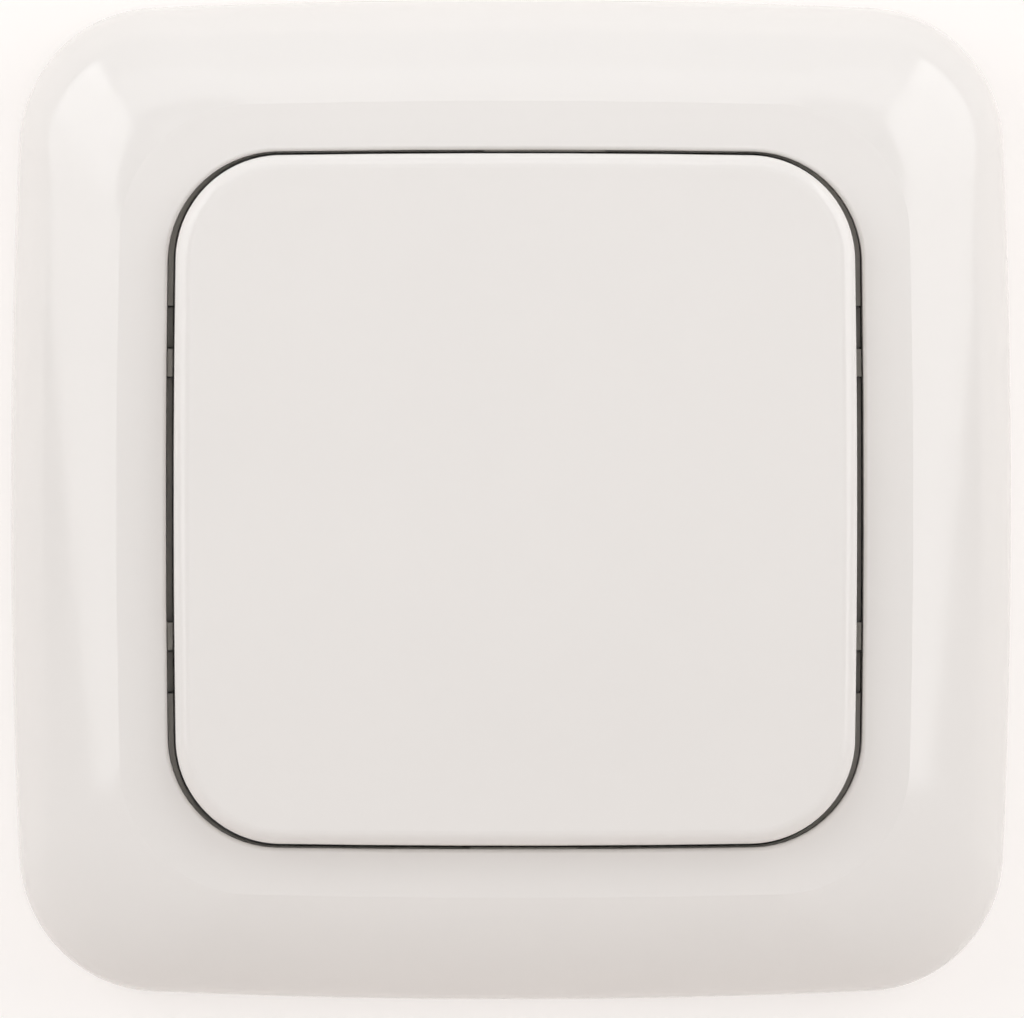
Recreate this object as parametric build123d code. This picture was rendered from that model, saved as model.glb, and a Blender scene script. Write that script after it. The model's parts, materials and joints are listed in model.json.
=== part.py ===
from build123d import *
import os
from math import cos, radians, sin

# Surface-mounted wireless wall switch with one large rocker in a domed square cover frame.
# Each piece is drawn lying on its back: X to the right, Y up the wall, Z out from the wall.
# At the end every piece is stood up, so that the wall is the plane y = 0 and the rocker faces -Y.
# All sizes are in millimetres.

# Rocker
rocker_width = 54.4
rocker_height = 55.1
rocker_corner = 8.4
rocker_bow = 0.3
rocker_stand = 2.6        # crown above the front of the cover frame
rocker_air = 2.1          # between the deck and the inside of the face
crown_sag = 0.5           # how far the face falls from its middle to its upper and lower ends
rocker_edge = 1.2         # rounding between face and skirt
face_thickness = 1.9
skirt_wall = 1.4
skirt_drop = 3.0
rib_depth = 1.1
rib_width = 1.2
rocker_tilt = 2.0         # degrees each way

# Gap round the rocker
side_gap = 0.6
end_gap = 0.3

# Cover frame
frame_width = 80.0
frame_corner = 11.2
frame_bow = 1.2
frame_wall = 2.0
rim_height = 3.0          # upright outer wall below the dome
dome_turn = 69.0          # degrees of a quarter ellipse that the dome takes up
dome_steps = 5
band_width = 3.9          # nearly flat front, from the opening out to the dome
band_corner = 10.5
band_bow = 0.6
band_rise = 0.3           # from the dome up to the opening
band_overrun = 0.15       # share by which the band is drawn past the opening
lip_round = 0.3
collar_wall = 1.4         # wall round the opening, behind the lip
frame_flange = 1.2
frame_rib = 1.0
frame_rib_place = 17.0

# Wall plate
plate_clearance = 2.5
plate_corner = 6.0
plate_thickness = 1.6
plate_rim = 1.2
plate_rim_height = 1.2
plate_collar = 1.2
collar_height = 4.2
screw_pitch = 60.0
screw_slot_width = 4.2
screw_slot_length = 6.0
latch_width = 7.0
latch_slit = 0.8
latch_reach = 1.2
latch_thickness = 1.0
latch_seat = 2.4
latch_play = 0.25

# Rear housing
cup_half = 24.6
cup_corner = 5.0
cup_lift = 0.5            # air between the rear housing and the wall
cup_wall = 1.4
cup_floor = 1.0
collar_gap = 0.5
flange_hole_gap = 0.6
window_gap = 0.7
boss_inset = 2.2          # from the inside of the deck's wall to each screw's axis
rear_boss = 2.6
front_boss = 2.4
post_inset = 3.2          # from the edge of the board
post_y = 8.0
post_radius = 1.6

# Front housing
flange_gap = 0.6
front_flange = 1.4
deck_half = 22.0
deck_corner = 4.0
deck_wall = 1.4
deck_thickness = 1.2
deck_air = 0.1
notch_half = 15.3
finger_place = 10.9
finger_width = 2.2
stop_half_width = 4.4
stop_thickness = 1.2
stop_inset = 0.3
stop_play = 0.05

# Pivot
pivot_drop = 2.1          # pivot axis below the outer face of the deck
pin_radius = 1.5
pin_play = 0.05
pin_lead = 0.3
ear_gap = 0.3
ear_thickness = 1.6
ear_radius = 2.4
ear_root = 1.0

# Circuit board
board_gap = 0.4
board_thickness = 1.2
notch_gap = 0.6

# Coin cell and its holder
cell_radius = 10.0
cell_thickness = 3.2
cell_step = 0.4
cell_edge = 0.2
cell_place = -6.0         # centre, below the middle of the board
cell_recess = 0.4
holder_play = 0.3
holder_wall = 1.5
holder_floor = 0.4
holder_rise = 2.4
contact_sheet = 0.2
contact_dimple = 0.1
contact_radius = 4.0
clip_sheet = 0.3
clip_width = 6.0
clip_gap = 0.2

# Tact switches, one above and one below the pivot
switch_place = 9.0
switch_side = 6.0
switch_body = 3.0
switch_floor = 0.8
switch_cover = 0.2
well_radius = 2.5
dome_radius = 2.2
dome_rise = 0.3
dome_sheet = 0.08
plunger_radius = 1.75
plunger_play = 0.05
plunger_collar = 2.3
plunger_collar_height = 0.5
plunger_nub = 0.8
plunger_stand = 0.5       # top of the plunger above the deck, at rest
plunger_window_gap = 0.4
press_air = 0.05          # air left under the plunger at the end of its stroke
nose_radius = 1.4
nose_tip = 3.0
nose_air = 0.05
terminal_sheet = 0.2
terminal_width = 0.6
terminal_foot = 1.2
terminal_pitch = 4.5

# Housing screws
screw_radius = 1.0
screw_head_radius = 1.9
screw_head_height = 1.3
screw_head_air = 0.25
screw_hole_gap = 0.15
screw_thread_play = 0.02
screw_bite = 2.8
screw_sink = 1.7
driver_slot = 0.5

# Electronic parts on the front of the board
chip_length = 8.6
chip_width = 3.9
chip_height = 1.5
chip_legs = 7
chip_pitch = 1.27
chip_inset = 7.7          # from the board's left edge
chip_rise = 2.5
leg_width = 0.4
leg_sheet = 0.2
leg_spread = 0.5
leg_foot = 0.5
can_radius = 4.5
can_height = 3.0
can_rim = 0.3
can_inset = 9.2           # from the board's right edge
can_rise = -4.0
transistor_length = 3.0
transistor_width = 1.4
transistor_height = 1.0
transistor_pitch = 1.9
transistor_rise = 4.5
coil_radius = 1.6
coil_core = 1.2
coil_flange = 0.5
coil_height = 2.2
coil_inset = 8.2          # from the board's right edge
coil_rise = 9.0
resistor_size = (1.0, 2.0, 0.5)
resistor_cap = 0.25
resistor_count = 4
resistor_pitch = 1.6
resistor_start = -5.5
resistor_inset = 4.2      # from the board's upper edge
capacitor_size = (2.0, 1.25, 0.8)
capacitor_cap = 0.4
capacitor_count = 3
capacitor_pitch = 1.7
capacitor_start = 6.0
capacitor_inset = 6.2     # from the board's upper edge
cap_swell = 0.05          # how far the metal caps stand out
antenna_half_length = 11.0
antenna_height = 2.0
antenna_radius = 0.4
antenna_bend = 1.0
antenna_inset = 2.2       # from the board's lower edge
guide_width = 3.2
guide_height = 1.2
guide_play = 0.1
guide_gap = 0.7           # from the inside of the deck's wall to the guide's inner end
led_width = 2.4
led_depth = 1.4
led_height = 1.6
led_air = 0.2

# Heights above the wall
flange_back = collar_height
joint_plane = flange_back + frame_flange
flange_front = joint_plane + front_flange
cup_back = cup_lift
floor_front = cup_back + cup_floor
cell_back = cup_back + cell_recess
cell_front = cell_back + cell_thickness
holder_back = cell_front + contact_dimple + contact_sheet
board_back = holder_back + holder_floor
board_front = board_back + board_thickness
switch_top = board_front + switch_body
deck_back = switch_top + switch_cover + deck_air
deck_front = deck_back + deck_thickness
pivot_height = deck_front - pivot_drop
plunger_top = deck_front + plunger_stand
rocker_inside = deck_front + rocker_air
rocker_crown = rocker_inside + face_thickness + crown_sag
frame_depth = rocker_crown - rocker_stand
skirt_back = rocker_inside - skirt_drop
band_height = frame_depth - band_rise

# Half widths
frame_half = frame_width / 2
rocker_half_x = rocker_width / 2
rocker_half_y = rocker_height / 2
opening_half_x = rocker_half_x + side_gap
opening_half_y = rocker_half_y + end_gap
opening_corner = rocker_corner + (side_gap + end_gap) / 2
band_half = opening_half_y + band_width
plate_half = frame_half - frame_wall - plate_clearance
collar_half = cup_half + collar_gap
board_half = deck_half - deck_wall - board_gap
boss_place = deck_half - deck_wall - boss_inset
notch_start = boss_place - rear_boss - notch_gap
post_x = board_half - post_inset
ear_inside = deck_half + ear_gap

# Travel of the plungers and of the skirt
stroke = switch_place * radians(rocker_tilt)
skirt_travel = rocker_half_y * sin(radians(rocker_tilt))
stop_top = skirt_back - skirt_travel - stop_play


def rounded_square(half, corner):
    return RectangleRounded(2 * half, 2 * half, corner)


def bowed_square(half_x, half_y, corner, bow):
    """Rounded square whose sides swell outward by bow at their middles."""
    far_x = half_x - bow
    far_y = half_y - bow
    corners = [(far_x, -far_y), (far_x, far_y), (-far_x, far_y), (-far_x, -far_y)]
    middles = [(half_x, 0), (0, half_y), (-half_x, 0), (0, -half_y)]
    sides = [ThreePointArc(corners[i], middles[i], corners[(i + 1) % 4]) for i in range(4)]
    face = make_face(Curve() + sides)
    return fillet(face.vertices(), corner)


def slab(outline, low, high):
    """Outline extruded from one height above the wall to another."""
    return Pos(0, 0, low) * extrude(outline, high - low)


def block(x_span, y_span, z_span):
    """Box between two corners, given as a (low, high) pair along each axis."""
    spans = (x_span, y_span, z_span)
    middle = [(low + high) / 2 for low, high in spans]
    return Pos(*middle) * Box(*[high - low for low, high in spans])


def rod(x, y, radius, low, high):
    """Upright cylinder from one height above the wall to another."""
    return Pos(x, y, (low + high) / 2) * Cylinder(radius, high - low)


def four_places(x, y):
    return [(x, y), (-x, y), (-x, -y), (x, -y)]


def opening_outline(margin=0.0):
    """Outline of the frame's opening, moved outward by margin."""
    return bowed_square(
        opening_half_x + margin, opening_half_y + margin, opening_corner + margin, rocker_bow
    )


def dome(base_half, height, corner):
    """Solid with an upright rim and an elliptic slope from there up to the band."""
    turn = radians(dome_turn)
    sections = []
    for step in range(dome_steps + 1):
        angle = turn * step / dome_steps
        share = (1 - cos(angle)) / (1 - cos(turn))
        half = base_half + (band_half - base_half) * share
        radius = corner + (band_corner - corner) * share
        bow = frame_bow + (band_bow - frame_bow) * share
        place = Pos(0, 0, rim_height + (height - rim_height) * sin(angle) / sin(turn))
        sections.append(place * bowed_square(half, half, radius, bow))
    rim = slab(bowed_square(base_half, base_half, corner, frame_bow), 0, rim_height)
    return rim + loft(sections)


def band():
    """Solid under the frame's nearly flat front, drawn a little past the opening."""
    sections = []
    for share in (0, 1 + band_overrun):
        half_x = band_half + (opening_half_x - band_half) * share
        half_y = band_half + (opening_half_y - band_half) * share
        radius = band_corner + (opening_corner - band_corner) * share
        bow = band_bow + (rocker_bow - band_bow) * share
        outline = bowed_square(half_x, half_y, radius, bow)
        sections.append(Pos(0, 0, band_height + band_rise * share) * outline)
    return loft(sections, ruled=True)


def make_cover_frame():
    """Hollow domed frame with a walled opening and an inward flange that the housing clamps."""
    shell = dome(frame_half, band_height, frame_corner) + band()
    hollow = dome(frame_half - frame_wall, band_height - frame_wall, frame_corner - frame_wall)
    solid_core = slab(opening_outline(collar_wall), flange_back, frame_depth)
    for place in (-frame_rib_place, frame_rib_place):
        across = (place - frame_rib / 2, place + frame_rib / 2)
        solid_core += block((-frame_half, frame_half), across, (joint_plane, frame_depth))
        solid_core += block(across, (-frame_half, frame_half), (joint_plane, frame_depth))
    opening = slab(opening_outline(), joint_plane, frame_depth + 1)
    hole_half = cup_half + flange_hole_gap
    hole = slab(rounded_square(hole_half, cup_corner + flange_hole_gap), 0, frame_depth)
    frame = shell - (hollow - solid_core) - opening - hole
    lip = frame.edges().filter_by_position(Axis.Z, frame_depth - lip_round / 2, frame_depth + lip_round / 2)
    return fillet(lip, lip_round)


def make_wall_plate():
    """Plate ring screwed to the wall, with the collar and latches that hold the switch."""
    plate = slab(rounded_square(plate_half, plate_corner), 0, plate_thickness + plate_rim_height)
    inside = rounded_square(plate_half - plate_rim, plate_corner - plate_rim)
    plate -= slab(inside, plate_thickness, plate_thickness + plate_rim_height)
    outer = rounded_square(collar_half + plate_collar, cup_corner + collar_gap + plate_collar)
    plate += slab(outer, 0, collar_height)
    plate -= slab(rounded_square(collar_half, cup_corner + collar_gap), 0, collar_height)
    slot = SlotOverall(screw_slot_length, screw_slot_width)
    for turn in range(4):
        place = Rot(0, 0, 90 * turn) * Pos(screw_pitch / 2, 0, 0)
        plate -= place * extrude(slot, plate_thickness)
    for turn in (90, 270):
        plate = latch_at(plate, turn)
    return plate


def latch_at(plate, turn):
    """Cuts two slits in the collar and puts a hook on the tongue between them."""
    outside = collar_half + plate_collar
    for side in (-1, 1):
        middle = side * (latch_width + latch_slit) / 2
        slit = block(
            (collar_half - 1, outside),
            (middle - latch_slit / 2, middle + latch_slit / 2),
            (plate_thickness, collar_height),
        )
        plate -= Rot(0, 0, turn) * slit
    hook = block(
        (collar_half - latch_reach, collar_half),
        (-latch_width / 2 + latch_slit, latch_width / 2 - latch_slit),
        (latch_seat, latch_seat + latch_thickness),
    )
    tip = hook.edges().filter_by(Axis.Y).group_by(Axis.X)[0].sort_by(Axis.Z)[-1]
    hook = chamfer(tip, latch_thickness / 2)
    return plate + Rot(0, 0, turn) * hook


def make_housing_back():
    """Rear cup that carries the board, with a round window for changing the cell."""
    cup = slab(rounded_square(cup_half, cup_corner), cup_back, joint_plane)
    inside = rounded_square(cup_half - cup_wall, cup_corner - cup_wall)
    cup -= slab(inside, floor_front, joint_plane)
    for x, y in four_places(boss_place, boss_place):
        cup += rod(x, y, rear_boss, cup_back, joint_plane)
        cup -= rod(x, y, screw_radius + screw_hole_gap, cup_back, joint_plane)
        cup -= rod(x, y, screw_head_radius + screw_head_air, cup_back, cup_back + screw_sink)
    for x, y in four_places(post_x, post_y):
        cup += rod(x, y, post_radius, cup_back, board_back)
    window = holder_outer() + clip_gap + clip_sheet + window_gap
    cup -= rod(0, cell_place, window, cup_back, floor_front)
    half = latch_width / 2 - latch_slit + latch_play
    for side in (-1, 1):
        walls = sorted((side * (cup_half - cup_wall), side * cup_half))
        heights = (latch_seat - latch_play, latch_seat + latch_thickness + latch_play)
        cup -= block((-half, half), walls, heights)
    return cup


def make_housing_front():
    """Front housing: a flange on the frame, and a deck that bears the rocker."""
    corner = opening_corner - flange_gap
    outline = bowed_square(
        opening_half_x - flange_gap, opening_half_y - flange_gap, corner, rocker_bow
    )
    housing = slab(outline, joint_plane, flange_front)
    housing += slab(rounded_square(deck_half, deck_corner), joint_plane, deck_front)
    inside = rounded_square(deck_half - deck_wall, deck_corner - deck_wall)
    housing -= slab(inside, joint_plane, deck_back)
    housing = front_notches(housing)
    housing = front_bosses(housing)
    for side in (-1, 1):
        window = plunger_radius + plunger_window_gap
        housing -= rod(0, side * switch_place, window, deck_back, deck_front)
    bore = Pos(0, 0, pivot_height) * Rot(0, 90, 0) * Cylinder(pin_radius + pin_play, 2 * deck_half)
    housing -= bore
    return front_stops(housing)


def front_notches(housing):
    """Clears the flange beside the rocker's ears and leaves two latch fingers on each side."""
    fingers = [(y - finger_width / 2, y + finger_width / 2) for y in (-finger_place, finger_place)]
    for side in (-1, 1):
        reach = sorted((side * deck_half, side * opening_half_x))
        notch = block(reach, (-notch_half, notch_half), (joint_plane, flange_front))
        for finger in fingers:
            notch -= block(reach, finger, (joint_plane, flange_front))
        housing -= notch
    return housing


def front_bosses(housing):
    """Bosses for the four screws, and posts that hold the board down."""
    thread = screw_radius + screw_thread_play
    for x, y in four_places(boss_place, boss_place):
        housing += rod(x, y, front_boss, joint_plane, deck_back)
        housing -= rod(x, y, thread, joint_plane, joint_plane + screw_bite + 2 * screw_thread_play)
    for x, y in four_places(post_x, post_y):
        housing += rod(x, y, post_radius, board_front, deck_back)
    return housing


def front_stops(housing):
    """Stops under the rocker's upper and lower ends, the upper one split by the light guide."""
    far = rocker_half_y - stop_inset
    near = far - stop_thickness
    housing += block((-stop_half_width, stop_half_width), (-far, -near), (flange_front, stop_top))
    housing += block((-stop_half_width, stop_half_width), (near, far), (flange_front, stop_top))
    half = guide_width / 2 + guide_play
    housing -= block((-half, half), (near - guide_play, far), (flange_front, stop_top))
    top = flange_front + guide_height + guide_play
    housing -= block((-half, half), (deck_half - deck_wall, deck_half), (flange_front, top))
    return housing


def make_rocker():
    """Rocker cap: crowned face, skirt, ribs, two noses and two ears with inward pins."""
    outline = bowed_square(rocker_half_x, rocker_half_y, rocker_corner, rocker_bow)
    body = slab(outline, skirt_back, rocker_crown + 1)
    crown_radius = rocker_half_y**2 / (2 * crown_sag)
    crown = Pos(0, 0, rocker_crown - crown_radius) * Rot(0, 90, 0)
    body &= crown * Cylinder(crown_radius, 2 * rocker_width)
    face = body.faces().sort_by(Axis.Z)[-1]
    body = fillet(face.edges(), rocker_edge)
    inside = bowed_square(
        rocker_half_x - skirt_wall, rocker_half_y - skirt_wall, rocker_corner - skirt_wall, rocker_bow
    )
    body -= slab(inside, skirt_back, rocker_inside)
    return body + rocker_ribs() + rocker_noses() + rocker_ears()


def rocker_ribs():
    """Ribs that stiffen the face, low enough to clear the deck at full tilt."""
    reach_x = rocker_half_x - skirt_wall
    reach_y = rocker_half_y - skirt_wall
    heights = (rocker_inside - rib_depth, rocker_inside)
    half = rib_width / 2
    ribs = []
    for side in (-1, 1):
        y = side * switch_place
        ribs.append(block((-reach_x, reach_x), (y - half, y + half), heights))
        x = side * ear_inside / 2
        ribs.append(block((x - half, x + half), (-reach_y, reach_y), heights))
    return ribs


def rocker_noses():
    """Round-ended noses that press the plungers."""
    noses = []
    for side in (-1, 1):
        y = side * switch_place
        tip = plunger_top + nose_air
        nose = rod(0, y, nose_radius, tip, rocker_inside)
        nose &= Pos(0, y, tip + nose_tip) * Sphere(nose_tip)
        noses.append(nose)
    return noses


def rocker_ears():
    """Ears beside the deck, each with a pin that points inward."""
    root = block((-ear_radius, ear_radius), (pivot_height, rocker_inside), (0, ear_thickness))
    ear = Pos(0, pivot_height, ear_thickness / 2) * Cylinder(ear_radius, ear_thickness) + root
    ears = []
    for side in (-1, 1):
        face_x = ear_inside if side > 0 else -ear_inside - ear_thickness
        ears.append(Plane.YZ.offset(face_x) * ear)
        web_x = sorted((side * (ear_inside + ear_thickness), side * (rocker_half_x - skirt_wall)))
        heights = (rocker_inside - ear_root, rocker_inside)
        ears.append(block(web_x, (-ear_radius, ear_radius), heights))
        length = ear_gap + deck_wall - pin_lead / 2
        pin = Cylinder(pin_radius, length)
        pin = chamfer(pin.edges().sort_by(Axis.Z)[-1], pin_lead)
        turn = -90 if side > 0 else 90
        middle = side * (ear_inside - length / 2)
        ears.append(Pos(middle, 0, pivot_height) * Rot(0, turn, 0) * pin)
    return ears


def make_circuit_board():
    board = slab(Rectangle(2 * board_half, 2 * board_half), board_back, board_front)
    for side_x in (-1, 1):
        for side_y in (-1, 1):
            x_span = sorted((side_x * board_half, side_x * notch_start))
            y_span = sorted((side_y * board_half, side_y * notch_start))
            board -= block(x_span, y_span, (board_back, board_front))
    return board


def holder_outer():
    return cell_radius + holder_play + holder_wall


def make_coin_cell():
    """Coin cell with its wider cup towards the wall and a stepped cap towards the board."""
    cup = rod(0, cell_place, cell_radius, cell_back, cell_front - cell_step)
    cup = chamfer(cup.edges().filter_by(GeomType.CIRCLE), cell_edge)
    cap = rod(0, cell_place, cell_radius - 2 * cell_step, cell_back + cell_step, cell_front)
    return cup + cap


def make_cell_holder():
    """Open ring and floor on the back of the board, with a slit for pushing the cell out."""
    ring = rod(0, cell_place, holder_outer(), board_back - holder_rise, board_back)
    ring -= rod(0, cell_place, holder_outer() - holder_wall, board_back - holder_rise, holder_back)
    slit = block(
        (-clip_width / 2, clip_width / 2),
        (cell_place - holder_outer(), cell_place - cell_radius),
        (board_back - holder_rise, holder_back),
    )
    return ring - slit


def make_cell_contact():
    """Sprung disc under the cell with a dimple that touches it."""
    disc = rod(0, cell_place, contact_radius, holder_back - contact_sheet, holder_back)
    return disc + rod(0, cell_place, contact_radius / 4, cell_front, holder_back)


def make_cell_clip():
    """Strap across the back of the cell, with a leg down each side to the board."""
    inside = holder_outer() + clip_gap
    strap = block(
        (-inside - clip_sheet, inside + clip_sheet),
        (cell_place - clip_width / 2, cell_place + clip_width / 2),
        (cell_back - clip_sheet, board_back),
    )
    strap -= block(
        (-inside, inside),
        (cell_place - clip_width / 2, cell_place + clip_width / 2),
        (cell_back, board_back),
    )
    bends = strap.edges().filter_by(Axis.Y).group_by(Axis.Z)[0]
    return fillet(bends, clip_sheet * 0.9)


def make_switch_base(y):
    half = switch_side / 2
    base = block((-half, half), (y - half, y + half), (board_front, switch_top))
    return base - rod(0, y, well_radius, board_front + switch_floor, switch_top)


def make_switch_dome(y):
    """Thin domed snap disc on the floor of the switch's well."""
    low = board_front + switch_floor
    outer_radius = (dome_radius**2 + dome_rise**2) / (2 * dome_rise)
    centre = low + dome_rise - outer_radius
    shell = Sphere(outer_radius) - Sphere(outer_radius - dome_sheet)
    shell = Pos(0, y, centre) * shell
    return shell & rod(0, y, dome_radius, low, low + dome_rise)


def make_switch_cover(y):
    """Sheet cover over the switch, with a leg bent down on each side."""
    half = switch_side / 2
    top = switch_top + switch_cover
    cover = block((-half, half), (y - half, y + half), (switch_top, top))
    for side in (-1, 1):
        legs = sorted((side * half, side * (half + switch_cover)))
        edge = sorted((side * (half - switch_cover), side * (half + switch_cover)))
        cover += block(legs, (y - half / 2, y + half / 2), (switch_top - half / 2, top))
        cover += block(edge, (y - half / 2, y + half / 2), (switch_top, top))
    return cover - rod(0, y, plunger_radius + plunger_play, switch_top, top)


def make_switch_terminals(y):
    half = switch_side / 2
    parts = []
    for x_side in (-1, 1):
        for y_side in (-1, 1):
            middle = y + y_side * terminal_pitch / 2
            width = (middle - terminal_width / 2, middle + terminal_width / 2)
            riser = sorted((x_side * half, x_side * (half + terminal_sheet)))
            foot = sorted((x_side * half, x_side * (half + terminal_foot)))
            leg = block(riser, width, (board_front, board_front + 2 * terminal_width))
            parts.append(leg + block(foot, width, (board_front, board_front + terminal_sheet)))
    return parts


def make_plunger(y):
    """Plunger at the middle of its stroke, kept in the well by its collar."""
    nub_low = board_front + switch_floor + dome_rise + stroke + press_air
    collar_top = switch_top - stroke - press_air
    collar_low = collar_top - plunger_collar_height
    stem = rod(0, y, plunger_radius, collar_low, plunger_top)
    collar = rod(0, y, plunger_collar, collar_low, collar_top)
    return stem + collar + rod(0, y, plunger_nub, nub_low, collar_low)


def make_microcontroller():
    """Small outline chip with gull-wing legs along its two long sides."""
    x = chip_inset - board_half
    half = chip_width / 2
    body = block(
        (x - half, x + half),
        (chip_rise - chip_length / 2, chip_rise + chip_length / 2),
        (board_front + leg_sheet, board_front + chip_height),
    )
    body = chamfer(body.edges().group_by(Axis.Z)[-1], leg_sheet)
    middle = board_front + chip_height / 2
    knee = half + leg_spread
    for index in range(chip_legs):
        y = chip_rise + (index - (chip_legs - 1) / 2) * chip_pitch
        width = (y - leg_width / 2, y + leg_width / 2)
        for side in (-1, 1):
            shoulder = sorted((x + side * half, x + side * knee))
            shin = sorted((x + side * (knee - leg_sheet), x + side * knee))
            foot = sorted((x + side * (knee - leg_sheet), x + side * (knee + leg_foot)))
            body += block(shoulder, width, (middle, middle + leg_sheet))
            body += block(shin, width, (board_front, middle + leg_sheet))
            body += block(foot, width, (board_front, board_front + leg_sheet))
    return body


def make_saw_resonator():
    """Round metal can with a rim at its foot."""
    x = board_half - can_inset
    can = rod(x, can_rise, can_radius, board_front, board_front + can_height)
    can = chamfer(can.edges().group_by(Axis.Z)[-1], can_rim)
    return can + rod(x, can_rise, can_radius + can_rim, board_front, board_front + can_rim)


def make_rf_transistor():
    """Three-legged chip above the round can."""
    x = board_half - can_inset
    half_x = transistor_length / 2
    half_y = transistor_width / 2
    body = block(
        (x - half_x, x + half_x),
        (transistor_rise - half_y, transistor_rise + half_y),
        (board_front + leg_sheet / 2, board_front + transistor_height),
    )
    body = chamfer(body.edges().group_by(Axis.Z)[-1], leg_sheet / 2)
    for shift, side in ((-transistor_pitch / 2, -1), (transistor_pitch / 2, -1), (0, 1)):
        near = transistor_rise + side * (half_y - leg_sheet)
        reach = sorted((near, near + side * (leg_sheet + leg_foot)))
        width = (x + shift - leg_width / 2, x + shift + leg_width / 2)
        body += block(width, reach, (board_front, board_front + leg_sheet))
    return body


def make_tuning_coil():
    """Drum core with its winding."""
    x = board_half - coil_inset
    top = board_front + coil_height
    core = rod(x, coil_rise, coil_core, board_front, top)
    core += rod(x, coil_rise, coil_radius, board_front, board_front + coil_flange)
    return core + rod(x, coil_rise, coil_radius, top - coil_flange, top)


def make_chips(places, size, cap):
    """Row of small two-ended parts, each with a metal cap at both ends."""
    half_x, half_y = size[0] / 2, size[1] / 2
    parts = []
    for x, y in places:
        heights = (board_front, board_front + size[2])
        body = block((x - half_x, x + half_x), (y - half_y, y + half_y), heights)
        for side in (-1, 1):
            if size[0] > size[1]:
                x_span = sorted((x + side * (half_x - cap), x + side * (half_x + cap_swell)))
                y_span = (y - half_y - cap_swell, y + half_y + cap_swell)
            else:
                x_span = (x - half_x - cap_swell, x + half_x + cap_swell)
                y_span = sorted((y + side * (half_y - cap), y + side * (half_y + cap_swell)))
            body += block(x_span, y_span, (board_front, board_front + size[2] + cap_swell))
        parts.append(body)
    return parts


def make_chip_resistors():
    y = board_half - resistor_inset
    places = [(resistor_start - resistor_pitch * index, y) for index in range(resistor_count)]
    return make_chips(places, resistor_size, resistor_cap)


def make_chip_capacitors():
    y = board_half - capacitor_inset
    places = [(capacitor_start, y + capacitor_pitch * index) for index in range(capacitor_count)]
    return make_chips(places, capacitor_size, capacitor_cap)


def make_antenna():
    """Bent wire loop along the lower edge of the board."""
    far = antenna_half_length
    y = antenna_inset - board_half
    top = board_front + antenna_height
    points = [(-far, y, board_front), (-far, y, top), (far, y, top), (far, y, board_front)]
    path = FilletPolyline(*points, radius=antenna_bend)
    section = Pos(*points[0]) * Circle(antenna_radius)
    return sweep(section, path=path)


def make_indicator_led():
    """Side-looking lamp that faces the light guide."""
    y = guide_start() - led_air
    heights = (board_front, board_front + led_height)
    body = block((-led_width / 2, led_width / 2), (y - led_depth, y), heights)
    return fillet(body.edges().filter_by(Axis.X).group_by(Axis.Y)[0], led_air)


def guide_start():
    return deck_half - deck_wall - guide_gap


def make_light_guide():
    """Clear bar from the lamp through the deck's wall to the gap above the rocker."""
    half = guide_width / 2
    far = rocker_half_y - stop_inset
    high = flange_front + guide_height
    guide = block((-half, half), (guide_start(), far), (flange_front, high))
    guide += block((-half, half), (far - stop_thickness, far), (flange_front, stop_top))
    return guide


def make_housing_screws():
    """Four screws that pull the two housings together."""
    head_back = cup_back + screw_sink - screw_head_height
    head_front = cup_back + screw_sink
    parts = []
    for x, y in four_places(boss_place, boss_place):
        head = rod(x, y, screw_head_radius, head_back, head_front)
        head -= Pos(x, y, head_back) * Box(2 * screw_head_radius, driver_slot, screw_head_height)
        head -= Pos(x, y, head_back) * Box(driver_slot, 2 * screw_head_radius, screw_head_height)
        parts.append(head + rod(x, y, screw_radius, head_front, joint_plane + screw_bite))
    return parts


def make_pieces():
    """Every piece by name, still lying on its back."""
    pieces = {
        "wall_plate": make_wall_plate(),
        "cover_frame": make_cover_frame(),
        "housing_back": make_housing_back(),
        "housing_front": make_housing_front(),
        "rocker": make_rocker(),
        "circuit_board": make_circuit_board(),
        "coin_cell": make_coin_cell(),
        "cell_holder": make_cell_holder(),
        "cell_contact": make_cell_contact(),
        "cell_clip": make_cell_clip(),
        "microcontroller": make_microcontroller(),
        "saw_resonator": make_saw_resonator(),
        "rf_transistor": make_rf_transistor(),
        "tuning_coil": make_tuning_coil(),
        "chip_resistors": make_chip_resistors(),
        "chip_capacitors": make_chip_capacitors(),
        "antenna": make_antenna(),
        "indicator_led": make_indicator_led(),
        "light_guide": make_light_guide(),
        "housing_screws": make_housing_screws(),
    }
    for name, side in (("upper", 1), ("lower", -1)):
        y = side * switch_place
        pieces[f"{name}_switch_base"] = make_switch_base(y)
        pieces[f"{name}_switch_dome"] = make_switch_dome(y)
        pieces[f"{name}_switch_cover"] = make_switch_cover(y)
        pieces[f"{name}_switch_terminals"] = make_switch_terminals(y)
        pieces[f"{name}_switch_plunger"] = make_plunger(y)
    return pieces


def main():
    os.makedirs("parts", exist_ok=True)
    for name, piece in make_pieces().items():
        solids = piece if isinstance(piece, list) else [piece]
        whole = Compound([solid for shape in solids for solid in shape.solids()])
        export_step(Rot(90, 0, 0) * whole, f"parts/{name}.step")


main()
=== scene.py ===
import json
import math
import bpy
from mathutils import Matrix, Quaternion, Vector


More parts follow.
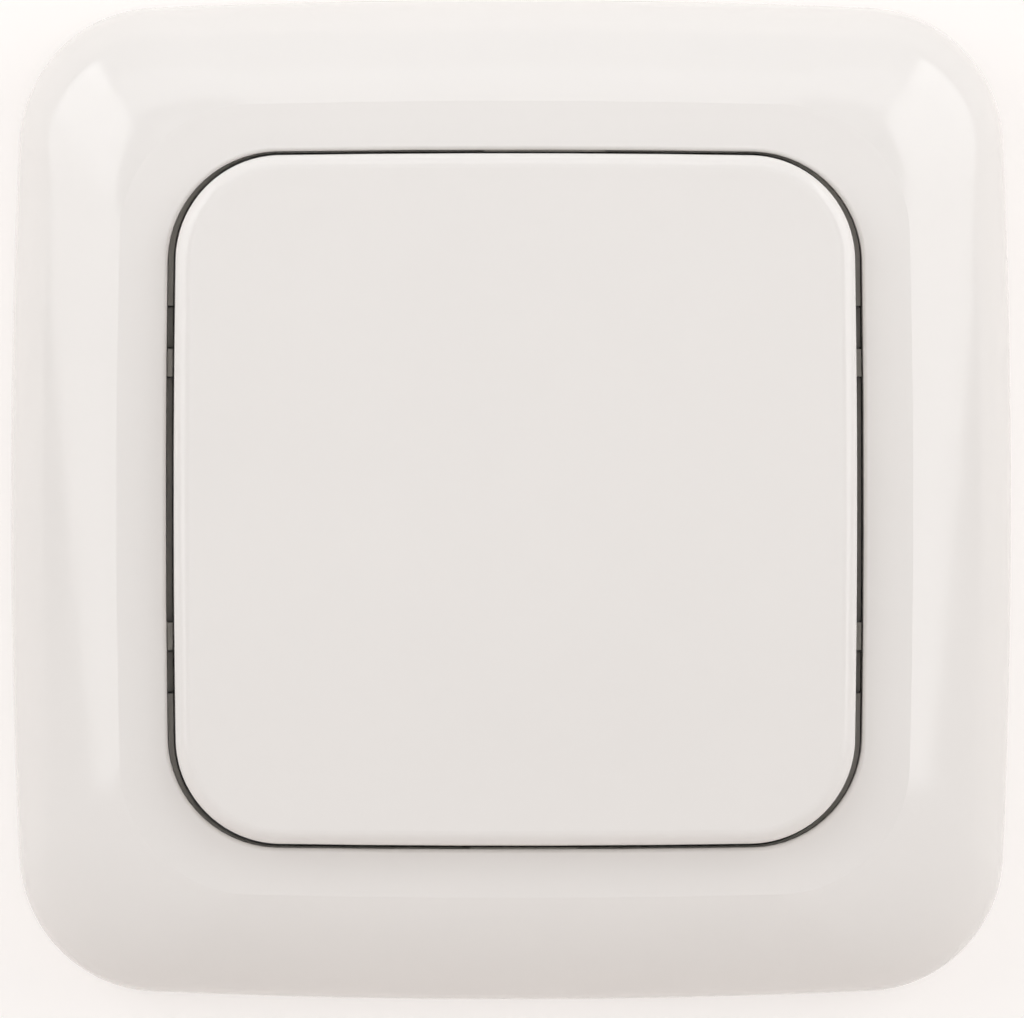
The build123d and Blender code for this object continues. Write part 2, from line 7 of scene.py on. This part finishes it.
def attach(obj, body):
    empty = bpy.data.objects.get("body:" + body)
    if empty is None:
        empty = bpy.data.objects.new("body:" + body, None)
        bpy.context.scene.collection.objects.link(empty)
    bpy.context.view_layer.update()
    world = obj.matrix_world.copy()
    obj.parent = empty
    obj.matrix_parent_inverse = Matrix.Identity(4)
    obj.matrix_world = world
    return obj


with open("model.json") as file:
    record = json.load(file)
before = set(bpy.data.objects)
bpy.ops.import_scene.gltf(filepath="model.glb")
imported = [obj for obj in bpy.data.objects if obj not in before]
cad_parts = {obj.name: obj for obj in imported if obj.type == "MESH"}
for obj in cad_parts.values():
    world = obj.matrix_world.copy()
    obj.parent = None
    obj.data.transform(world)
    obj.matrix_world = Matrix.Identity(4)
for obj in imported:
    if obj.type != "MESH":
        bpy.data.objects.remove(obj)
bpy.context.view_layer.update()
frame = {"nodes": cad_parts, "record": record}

MILLIMETRE = 0.001
MICROMETRE = 0.000001

# Which way the sides and the ends lie from the switch's middle
SIDES = {"left": -1, "right": 1}
ENDS = {"upper": 1, "lower": -1}

# Photograph: its size and scale, and where the switch stands in it
PHOTO_WIDTH = 1024
PHOTO_HEIGHT = 1018
PIXELS_PER_METRE = 12480.0
SWITCH_MIDDLE = (510.5, 499.5)

# Camera
CAMERA_DISTANCE = 2.0
CAMERA_AZIMUTH = math.radians(-1.7)
SENSOR = 36.0
CLIP_START = 0.1
CLIP_END = 50.0

# Stage: where the wall and the floor lie
WALL_GAP = 0.0003
WALL_HALF = 0.42
WALL_TOP = 1.6
FLOOR_DROP = 0.16
FLOOR_HALF = 9.6

# The share of light that the stage sends back, its tint, and what the eye sees: a lit share and a glow
STAGE_WHITE = 0.80
STAGE_TINT = (1.0, 0.962, 0.938)
WALL_LOOK = (0.405, 0.607)
FLOOR_LOOK = (0.22, 0.77)

# World: its light, and how bright the eye sees it
WORLD_LIGHT = 0.1
WORLD_SEEN = 1.0

# Softboxes beside the switch, each in two parts with their own depth, height, tallness and power
SOFTBOX_PLACE = 0.5
SOFTBOX_WIDTH = 0.80
SOFTBOX_ROLL = 12.0
SOFTBOX_PARTS = {"upper": (-0.44, 0.37, 0.42), "lower": (-0.376, 0.067, 0.20)}
SOFTBOX_POWER = {"left": {"upper": 2.55, "lower": 0.95}, "right": {"upper": 2.4, "lower": 1.10}}

# Other lamps: place, target, size and power
OTHER_LAMPS = {
    "overhead": ((0.0, -0.185, 0.5), (0.0, -0.185, 0.0), (1.0, 0.33), 0.50),
    "overhead_near": ((0.0, -0.15, 0.17), (0.0, -0.01, 0.0), (0.3, 0.08), 0.076),
    "camera_side": ((0.0, -1.1, 0.25), (0.0, 0.0, 0.0), (0.8, 0.6), 0.95),
    "behind": ((0.0, 0.9, 0.35), (0.0, 0.0, 0.0), (0.8, 0.6), 3.6),
}

WARM_WHITE = (0.815, 0.789, 0.767)

# Moulded plastics: colour, roughness, the grain's size in millimetres and depth in micrometres,
# then the spread of the colour and of the roughness where they aren't the usual ones
MOULDED = {
    "frame_gloss": (WARM_WHITE, 0.13, 0.9, 1.0, 0.006, 0.015),
    "rocker_gloss": (WARM_WHITE, 0.13, 0.9, 1.0, 0.006, 0.015),
    "plate_plastic": ((0.70, 0.69, 0.66), 0.50, 0.2, 8.0),
    "housing_plastic": ((0.64, 0.62, 0.57), 0.50, 0.2, 8.0),
    "board_laminate": ((0.02, 0.13, 0.06), 0.35, 0.6, 6.0, 0.2),
    "holder_plastic": ((0.03, 0.03, 0.03), 0.48, 0.2, 6.0),
    "chip_epoxy": ((0.03, 0.03, 0.033), 0.55, 0.2, 6.0),
    "coil_ferrite": ((0.07, 0.05, 0.04), 0.6, 0.3, 20.0, 0.2),
    "resistor_body": ((0.05, 0.05, 0.07), 0.3, 0.3, 4.0),
    "capacitor_body": ((0.40, 0.28, 0.16), 0.4, 0.3, 4.0, 0.1),
    "lamp_body": ((0.78, 0.78, 0.72), 0.3, 0.5, 3.0),
    "switch_plastic": ((0.03, 0.03, 0.03), 0.45, 0.2, 6.0),
    "plunger_plastic": ((0.35, 0.05, 0.03), 0.42, 0.2, 5.0),
}
CLOUD_SIZE = 18 * MILLIMETRE
CLOUD_DETAIL = 3.0
SMEAR_SIZE = 6 * MILLIMETRE
SMEAR_DETAIL = 4.0
PLASTIC_IOR = 1.5

# Metals: colour, roughness, the grain's size and depth as above, and its scale along each axis
EVEN = (1.0, 1.0, 1.0)
ROLLED = (1.0, 8.0, 1.0)
METALS = {
    "cell_steel": ((0.62, 0.62, 0.60), 0.28, 1.2, 2.0, ROLLED),
    "spring_metal": ((0.58, 0.57, 0.55), 0.30, 0.8, 2.0, ROLLED),
    "cover_metal": ((0.62, 0.62, 0.61), 0.32, 0.8, 2.0, ROLLED),
    "terminal_metal": ((0.66, 0.65, 0.60), 0.38, 0.6, 3.0, EVEN),
    "can_metal": ((0.66, 0.66, 0.66), 0.25, 1.0, 2.0, ROLLED),
    "copper_wire": ((0.72, 0.38, 0.20), 0.25, 0.8, 2.0, ROLLED),
    "screw_steel": ((0.55, 0.55, 0.54), 0.35, 0.5, 4.0, EVEN),
}
METAL_DETAIL = 3.0
METAL_SPREAD = 0.06
METAL_ROUGH_SHARE = 0.25

# Clear moulding of the light guide
CLEAR_COLOUR = (0.95, 0.96, 0.95)
CLEAR_IOR = 1.49
CLEAR_ROUGHNESS = (0.03, 0.12)
CLEAR_SMEAR = 1.5 * MILLIMETRE
CLEAR_GRAIN = 0.8 * MILLIMETRE
CLEAR_DEPTH = 4 * MICROMETRE

# Span that holds most of a noise's values
NOISE_SPAN = (0.3, 0.7)

# Trim in the gap: its middle line and half thickness beside the rocker and above it, and its bow.
# The rocker's ends swing outward, so above and below it the trim lies close to the frame.
TRIM_LINE = (27.5 * MILLIMETRE, 27.785 * MILLIMETRE)
TRIM_HALF = (0.21 * MILLIMETRE, 0.06 * MILLIMETRE)
TRIM_BOW = 0.3 * MILLIMETRE
TRIM_CORNER = 8.63 * MILLIMETRE
CORNER_PLACE = 18.8 * MILLIMETRE    # rough place of each corner's centre
CORNER_TURN = (4, 86)               # degrees
TRIM_PLAY = 0.15 * MILLIMETRE       # air between one piece and the next

# Stations along the trim
SIDE_STATIONS = 5
CORNER_STATIONS = 15
END_STATIONS = 9

# The trim's heights above the wall
TRIM_BACK = 5.4 * MILLIMETRE
STRIP_FRONT = 9.4 * MILLIMETRE
LEDGE_FRONT = 10.2 * MILLIMETRE
FINGER_FRONT = 10.6 * MILLIMETRE
TAB_FRONT = 11.3 * MILLIMETRE

# How far the trim's pieces reach from the switch's middle
FINGER_NEAR = 9.8 * MILLIMETRE
FINGER_FAR = 12.0 * MILLIMETRE
NOTCH_HALF = 15.3 * MILLIMETRE
TAB_REACH = {
    "upper": (-2.4 * MILLIMETRE, 7.2 * MILLIMETRE),
    "lower": (-3.6 * MILLIMETRE, 5.0 * MILLIMETRE),
}


def new_material(name):
    """New node material, its tree and its Principled shader."""
    material = bpy.data.materials.new(name)
    material.use_nodes = True
    tree = material.node_tree
    return material, tree, tree.nodes["Principled BSDF"]


def noise(tree, size, detail=2.0, stretch=EVEN):
    """Noise in the row's frame whose lumps are about size metres across."""
    place = tree.nodes.new("ShaderNodeTexCoord")
    mapping = tree.nodes.new("ShaderNodeMapping")
    mapping.inputs["Scale"].default_value = stretch
    texture = tree.nodes.new("ShaderNodeTexNoise")
    texture.inputs["Scale"].default_value = 1.0 / size
    texture.inputs["Detail"].default_value = detail
    tree.links.new(place.outputs["Object"], mapping.inputs["Vector"])
    tree.links.new(mapping.outputs["Vector"], texture.inputs["Vector"])
    return texture.outputs["Fac"]


def spread_value(tree, source, low, high):
    """Maps a noise to a range of values."""
    ramp = tree.nodes.new("ShaderNodeMapRange")
    ramp.inputs["From Min"].default_value = NOISE_SPAN[0]
    ramp.inputs["From Max"].default_value = NOISE_SPAN[1]
    ramp.inputs["To Min"].default_value = low
    ramp.inputs["To Max"].default_value = high
    tree.links.new(source, ramp.inputs["Value"])
    return ramp.outputs["Result"]


def spread_colour(tree, source, colour, spread):
    """Mixes a slightly darker and a slightly lighter tone of one colour by a noise."""
    mix = tree.nodes.new("ShaderNodeMix")
    mix.data_type = "RGBA"
    mix.inputs["A"].default_value = [c * (1 - spread) for c in colour] + [1.0]
    mix.inputs["B"].default_value = [min(c * (1 + spread), 1.0) for c in colour] + [1.0]
    share = spread_value(tree, source, 0.0, 1.0)
    tree.links.new(share, mix.inputs["Factor"])
    return mix.outputs["Result"]


def add_bump(tree, shader, source, depth):
    """Raises the surface by a noise, depth metres high."""
    bump = tree.nodes.new("ShaderNodeBump")
    bump.inputs["Strength"].default_value = 1.0
    bump.inputs["Distance"].default_value = depth
    tree.links.new(source, bump.inputs["Height"])
    tree.links.new(bump.outputs["Normal"], shader.inputs["Normal"])


def moulded(name, colour, roughness, grain, depth, spread=0.02, rough_spread=0.04):
    """Moulded plastic: mottled a little, with a fine surface texture."""
    material, tree, shader = new_material(name)
    clouds = noise(tree, CLOUD_SIZE, CLOUD_DETAIL)
    tree.links.new(spread_colour(tree, clouds, colour, spread), shader.inputs["Base Color"])
    smears = noise(tree, SMEAR_SIZE, SMEAR_DETAIL)
    rough = spread_value(tree, smears, roughness - rough_spread, roughness + rough_spread)
    tree.links.new(rough, shader.inputs["Roughness"])
    add_bump(tree, shader, noise(tree, grain * MILLIMETRE), depth * MICROMETRE)
    shader.inputs["IOR"].default_value = PLASTIC_IOR
    return material


def metal(name, colour, roughness, grain, depth, stretch):
    """Rolled, drawn or plated metal whose grain is stretched."""
    material, tree, shader = new_material(name)
    streaks = noise(tree, grain * MILLIMETRE, METAL_DETAIL, stretch)
    tree.links.new(spread_colour(tree, streaks, colour, METAL_SPREAD), shader.inputs["Base Color"])
    swing = roughness * METAL_ROUGH_SHARE
    rough = spread_value(tree, streaks, roughness - swing, roughness + swing)
    tree.links.new(rough, shader.inputs["Roughness"])
    add_bump(tree, shader, streaks, depth * MICROMETRE)
    shader.inputs["Metallic"].default_value = 1.0
    return material


def clear(name):
    """Clear moulding for the light guide."""
    material, tree, shader = new_material(name)
    shader.inputs["Base Color"].default_value = (*CLEAR_COLOUR, 1.0)
    shader.inputs["Transmission Weight"].default_value = 1.0
    shader.inputs["IOR"].default_value = CLEAR_IOR
    rough = spread_value(tree, noise(tree, CLEAR_SMEAR), *CLEAR_ROUGHNESS)
    tree.links.new(rough, shader.inputs["Roughness"])
    add_bump(tree, shader, noise(tree, CLEAR_GRAIN), CLEAR_DEPTH)
    return material


def make_materials():
    """One material for each slot of the record."""
    made = {name: moulded(name, *look) for name, look in MOULDED.items()}
    made.update({name: metal(name, *look) for name, look in METALS.items()})
    made["clear_guide"] = clear("clear_guide")
    return made


def dress_nodes(materials):
    """Gives each CAD node the material of its slot."""
    for entry in frame["record"]["subparts"]:
        node = frame["nodes"][entry["node"]]
        for slot in node.material_slots:
            slot.material = materials[entry["material_slot"]]


def evenly(first, last, count):
    """Evenly spaced values from first to last, both included."""
    return [first + (last - first) * i / (count - 1) for i in range(count)]


def trim_side(along, axis):
    """Distance from the switch's middle to the trim beside the rocker (axis 0) or above it (axis 1)."""
    return TRIM_LINE[axis] - TRIM_BOW * (along / TRIM_LINE[1 - axis]) ** 2


def side_stations(low, high):
    """Stations (x, z, half thickness) up the gap's right side."""
    return [(trim_side(z, 0), z, TRIM_HALF[0]) for z in evenly(low, high, SIDE_STATIONS)]


def corner_stations():
    """Stations round the gap's upper right corner, where it narrows towards the top."""
    middle_x = trim_side(CORNER_PLACE, 0) - TRIM_CORNER
    middle_z = trim_side(CORNER_PLACE, 1) - TRIM_CORNER
    stations = []
    for turn in evenly(*map(math.radians, CORNER_TURN), CORNER_STATIONS):
        x = middle_x + TRIM_CORNER * math.cos(turn)
        z = middle_z + TRIM_CORNER * math.sin(turn)
        half = TRIM_HALF[1] + (TRIM_HALF[0] - TRIM_HALF[1]) * math.cos(turn) ** 2
        stations.append((x, z, half))
    return stations


def end_stations(first, last):
    """Stations along the gap above the rocker."""
    return [(x, trim_side(x, 1), TRIM_HALF[1]) for x in evenly(first, last, END_STATIONS)]


def mirrored(stations, across, up):
    """Stations mirrored left to right (across -1) or top to bottom (up -1)."""
    turned = [(across * x, up * z, half) for x, z, half in stations]
    return turned if across * up > 0 else turned[::-1]


def add_mesh(name, corners, faces, material):
    """New object with a mesh of one material."""
    mesh = bpy.data.meshes.new(name)
    mesh.from_pydata(corners, [], faces)
    mesh.materials.append(material)
    added = bpy.data.objects.new(name, mesh)
    bpy.context.collection.objects.link(added)
    return added


def make_strip(name, stations, back, front, material):
    """Upright strip of the housing that follows its stations, between two heights above the wall."""
    points = [Vector((x, 0.0, z)) for x, z, _ in stations]
    last = len(points) - 1
    corners = []
    for i, point in enumerate(points):
        way = (points[min(i + 1, last)] - points[max(i - 1, 0)]).normalized()
        out = Vector((way.z, 0.0, -way.x)) * stations[i][2]
        for offset, height in ((-out, back), (out, back), (out, front), (-out, front)):
            corners.append(tuple(point + offset - Vector((0.0, height, 0.0))))
    faces = [(3, 2, 1, 0), tuple(4 * last + k for k in range(4))]
    for start in range(0, 4 * last, 4):
        for k in range(4):
            after = (k + 1) % 4
            faces.append((start + k, start + after, start + 4 + after, start + 4 + k))
    strip = add_mesh(name, corners, faces, material)
    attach(strip, "base")


def make_gap_trim(material):
    """What shows in the gap round the rocker: ledges, strips, latch fingers and two tabs."""
    corner = corner_stations()
    right = side_stations(NOTCH_HALF + TRIM_PLAY, corner[0][1] - TRIM_PLAY) + corner
    left = mirrored(right, -1, 1)
    over = end_stations(corner[-1][0] - TRIM_PLAY, TRIM_PLAY - corner[-1][0])
    for end, up in ENDS.items():
        ledge = mirrored(right + over + left, 1, up)
        make_strip(f"gap_ledge_{end}", ledge, TRIM_BACK, LEDGE_FRONT, material)
        tab_left, tab_right = TAB_REACH[end]
        tab = mirrored(end_stations(tab_right, tab_left), 1, up)
        make_strip(f"gap_tab_{end}", tab, LEDGE_FRONT, TAB_FRONT, material)
    for side, across in SIDES.items():
        for end, up in ENDS.items():
            finger = mirrored(side_stations(FINGER_NEAR, FINGER_FAR), across, up)
            make_strip(f"latch_finger_{end}_{side}", finger, TRIM_BACK, FINGER_FRONT, material)
            far = mirrored(side_stations(FINGER_FAR + TRIM_PLAY, NOTCH_HALF), across, up)
            make_strip(f"gap_strip_{end}_{side}", far, TRIM_BACK, STRIP_FRONT, material)
        near = side_stations(TRIM_PLAY - FINGER_NEAR, FINGER_NEAR - TRIM_PLAY)
        middle = mirrored(near, across, 1)
        make_strip(f"gap_strip_middle_{side}", middle, TRIM_BACK, STRIP_FRONT, material)


def greater(tree, first, second):
    """Larger of two outputs."""
    node = tree.nodes.new("ShaderNodeMath")
    node.operation = "MAXIMUM"
    tree.links.new(first, node.inputs[0])
    tree.links.new(second, node.inputs[1])
    return node.outputs[0]


def mixed(tree, share, first, second):
    """First shader where share is 0, second where it is 1."""
    node = tree.nodes.new("ShaderNodeMixShader")
    tree.links.new(share, node.inputs["Fac"])
    tree.links.new(first, node.inputs[1])
    tree.links.new(second, node.inputs[2])
    return node.outputs[0]


def stage_material(name, look, open_to_lamps=False):
    """Matt warm white that is pale to the eye from its front and can't be seen from its back.

    To the eye it is a lit colour plus a glow, which keeps shadows soft, and to light it is plain.
    Where it is open to lamps, they shine through it, so that a lamp behind it lights the switch's back.
    """
    lit, glow = look
    material, tree, shader = new_material(name)
    nodes, links = tree.nodes, tree.links
    nodes.remove(shader)
    path = nodes.new("ShaderNodeLightPath").outputs
    plain = nodes.new("ShaderNodeBsdfDiffuse")
    plain.inputs["Color"].default_value = [STAGE_WHITE * c for c in STAGE_TINT] + [1.0]
    pale = nodes.new("ShaderNodeBsdfDiffuse")
    pale.inputs["Color"].default_value = [lit * c for c in STAGE_TINT] + [1.0]
    glowing = nodes.new("ShaderNodeEmission")
    glowing.inputs["Color"].default_value = (*STAGE_TINT, 1.0)
    glowing.inputs["Strength"].default_value = glow
    both = nodes.new("ShaderNodeAddShader")
    links.new(pale.outputs[0], both.inputs[0])
    links.new(glowing.outputs[0], both.inputs[1])
    seen = greater(tree, path["Is Camera Ray"], path["Is Glossy Ray"])
    seen = greater(tree, seen, path["Is Transmission Ray"])
    front = mixed(tree, seen, plain.outputs[0], both.outputs[0])
    hidden = nodes.new("ShaderNodeNewGeometry").outputs["Backfacing"]
    if open_to_lamps:
        hidden = greater(tree, hidden, path["Is Shadow Ray"])
    whole = mixed(tree, hidden, front, nodes.new("ShaderNodeBsdfTransparent").outputs[0])
    links.new(whole, nodes["Material Output"].inputs["Surface"])
    return material


def make_sheet(name, corners, material):
    """One flat stage sheet from its four corners, seen from the side where they turn left."""
    sheet = add_mesh(name, corners, [(0, 1, 2, 3)], material)


def make_stage():
    """The wall behind the switch, and a floor below it that carries on behind the wall."""
    low = -FLOOR_DROP
    left, right = (-WALL_HALF, WALL_GAP), (WALL_HALF, WALL_GAP)
    wall = [(*left, low), (*right, low), (*right, WALL_TOP), (*left, WALL_TOP)]
    make_sheet("wall", wall, stage_material("stage_wall", WALL_LOOK, open_to_lamps=True))
    wide = FLOOR_HALF
    floor = [(-wide, -wide, low), (wide, -wide, low), (wide, wide, low), (-wide, wide, low)]
    make_sheet("floor", floor, stage_material("stage_floor", FLOOR_LOOK))


def make_world():
    """Dim even light from all round, which the eye sees as plain white."""
    white = (1.0, 1.0, 1.0, 1.0)
    world = bpy.data.worlds.new("studio")
    bpy.context.scene.world = world
    world.use_nodes = True
    nodes, links = world.node_tree.nodes, world.node_tree.links
    path = nodes.new("ShaderNodeLightPath")
    light = nodes["Background"]
    light.inputs["Color"].default_value = white
    light.inputs["Strength"].default_value = WORLD_LIGHT
    backdrop = nodes.new("ShaderNodeBackground")
    backdrop.inputs["Color"].default_value = white
    backdrop.inputs["Strength"].default_value = WORLD_SEEN
    mix = nodes.new("ShaderNodeMixShader")
    links.new(path.outputs["Is Camera Ray"], mix.inputs["Fac"])
    links.new(light.outputs[0], mix.inputs[1])
    links.new(backdrop.outputs[0], mix.inputs[2])
    links.new(mix.outputs[0], nodes["World Output"].inputs["Surface"])


def make_lamp(name, place, target, size, power, roll=0.0):
    """Soft rectangular lamp at one point that faces another, turned about that line by roll degrees."""
    data = bpy.data.lights.new(name, "AREA")
    data.shape = "RECTANGLE"
    data.size, data.size_y = size
    data.energy = power
    lamp = bpy.data.objects.new(name, data)
    lamp.location = place
    lamp.rotation_mode = "QUATERNION"
    aim = (Vector(target) - Vector(place)).to_track_quat("-Z", "Y")
    lamp.rotation_quaternion = aim @ Quaternion((0.0, 0.0, 1.0), math.radians(roll))
    bpy.context.collection.objects.link(lamp)


def make_lamps():
    """Softboxes at both sides, dimmer in their lower part, and the other lamps."""
    for side, across in SIDES.items():
        for part, (depth, height, tall) in SOFTBOX_PARTS.items():
            place = (across * SOFTBOX_PLACE, depth, height)
            target = (0.0, depth, height)
            size = (SOFTBOX_WIDTH, tall)
            power = SOFTBOX_POWER[side][part]
            make_lamp(f"{side}_softbox_{part}", place, target, size, power, across * SOFTBOX_ROLL)
    for name, lamp in OTHER_LAMPS.items():
        make_lamp(name, *lamp)


def make_camera():
    """Camera at the photograph's angle, framed so that the switch stands where it does there."""
    data = bpy.data.cameras.new("camera")
    data.sensor_width = SENSOR
    data.lens = SENSOR * CAMERA_DISTANCE / (PHOTO_WIDTH / PIXELS_PER_METRE)
    data.clip_start = CLIP_START
    data.clip_end = CLIP_END
    camera = bpy.data.objects.new("camera", data)
    bpy.context.collection.objects.link(camera)
    across = (PHOTO_WIDTH / 2 - SWITCH_MIDDLE[0]) / PIXELS_PER_METRE
    up = (SWITCH_MIDDLE[1] - PHOTO_HEIGHT / 2) / PIXELS_PER_METRE
    back = Vector((math.sin(CAMERA_AZIMUTH), -math.cos(CAMERA_AZIMUTH), 0.0))
    camera.location = Vector((across, 0.0, up)) + back * CAMERA_DISTANCE
    camera.rotation_mode = "QUATERNION"
    camera.rotation_quaternion = (-back).to_track_quat("-Z", "Y")
    bpy.context.scene.camera = camera


bpy.context.scene.view_settings.view_transform = "Standard"
materials = make_materials()
dress_nodes(materials)
make_gap_trim(materials["housing_plastic"])
make_stage()
make_world()
make_lamps()
make_camera()
